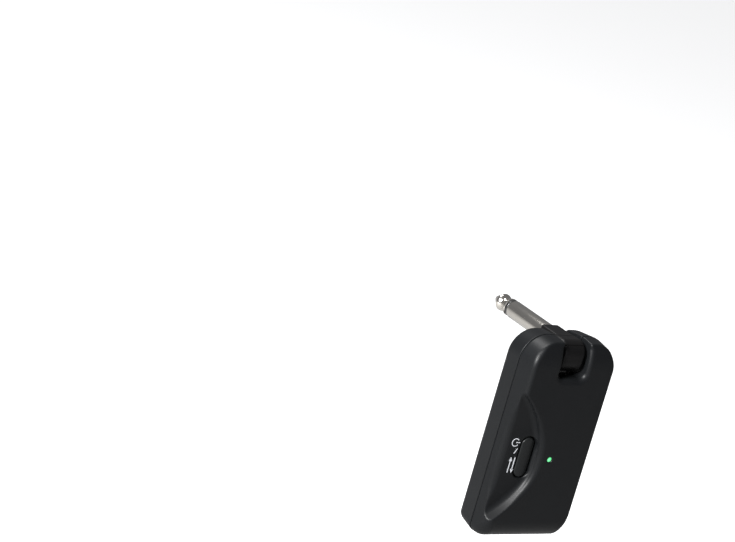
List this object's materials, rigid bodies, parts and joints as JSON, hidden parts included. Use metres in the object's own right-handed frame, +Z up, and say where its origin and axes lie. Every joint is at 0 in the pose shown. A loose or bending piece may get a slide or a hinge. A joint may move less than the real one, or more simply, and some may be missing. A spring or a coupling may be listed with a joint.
{
  "type": "wireless guitar transmitter",
  "caption": "Two-shell audio transmitter that hangs from its own hinged 6.35 mm jack plug, with a thumb scallop, a push button, a lamp, a USB-C socket and a channel that stows the plug.",
  "frame": {"origin": "centre of the plug's seating shoulder, where the jack's nut meets the arm", "axes": "+Z up the housing's long axis, +Y out along the plug, -Y out of the front face, +X to the right seen from the front"},
  "size_m": [0.0356, 0.0495, 0.072],
  "materials": {
    "charcoal_plastic": "fine matte grain",
    "arm_plastic": "satin",
    "button_plastic": "satin",
    "nickel_plate": "polished nickel plate",
    "insulator_plastic": "smooth",
    "steel": "zinc plated",
    "brass": "plain",
    "acetal": "natural acetal",
    "black_acetal": "black acetal",
    "board_green": "solder resist",
    "chip_black": "moulded package",
    "ceramic": "fired ceramic",
    "cell_foil": "laminated foil",
    "foam": "open-cell foam",
    "clear_acrylic": "clear moulded acrylic",
    "red_wire": "wire insulation",
    "black_wire": "wire insulation",
    "white_wire": "wire insulation"
  },
  "bodies": {
    "plug_arm": {"plug_arm_block": "arm_plastic", "plug_arm_cap": "arm_plastic", "plug_sleeve": "nickel_plate", "plug_insulator": "insulator_plastic", "plug_tip": "nickel_plate", "plug_nut": "brass", "sleeve_lug": "brass", "tip_lug": "brass", "hinge_pin": "steel", "pin_retaining_ring_left": "steel", "pin_retaining_ring_right": "steel", "tip_lead_in_arm": "white_wire", "ground_lead_in_arm": "black_wire"},
    "housing": {"audio_codec": "chip_black", "battery_cell": "cell_foil", "battery_connector": "acetal", "battery_foam_pad": "foam", "battery_lead_negative": "black_wire", "battery_lead_positive": "red_wire", "board_screw_1": "steel", "board_screw_2": "steel", "board_screw_3": "steel", "case_screw_1": "steel", "case_screw_2": "steel", "case_screw_3": "steel", "case_screw_4": "steel", "charger_chip": "chip_black", "chip_antenna": "ceramic", "crystal": "ceramic", "friction_clip_left": "brass", "friction_clip_right": "brass", "front_cover": "charcoal_plastic", "ground_lead_in_housing": "black_wire", "hinge_bush_left": "black_acetal", "hinge_bush_right": "black_acetal", "lamp_emitter": "ceramic", "lamp_light_pipe": "clear_acrylic", "main_board": "board_green", "radio_chip": "chip_black", "radio_shield_can": "steel", "rear_cover": "charcoal_plastic", "switch_body": "steel", "tip_lead_in_housing": "white_wire", "usb_c_shell": "steel", "usb_c_tongue": "chip_black"},
    "sync_button": {"sync_button": "button_plastic"},
    "switch_plunger": {"switch_plunger": "ceramic"}
  },
  "joints": [
    {"name": "plug_hinge", "type": "hinge", "parent": "plug_arm", "child": "housing", "pos_m": [0, -0.0106, -0.0025], "axis": [1, 0, 0], "range_deg": [-90, 90]},
    {"name": "button_press", "type": "slide", "parent": "housing", "child": "sync_button", "axis": [0, 1, 0], "range_m": [0, 0.0003], "stiffness_N_per_m": 1500, "springref_m": -0.0002},
    {"name": "plunger_press", "type": "slide", "parent": "housing", "child": "switch_plunger", "axis": [0, 1, 0], "range_m": [0, 0.0003]}
  ],
  "couplings": [
    {"joint": "plunger_press", "follows": "button_press", "ratio": 1}
  ]
}
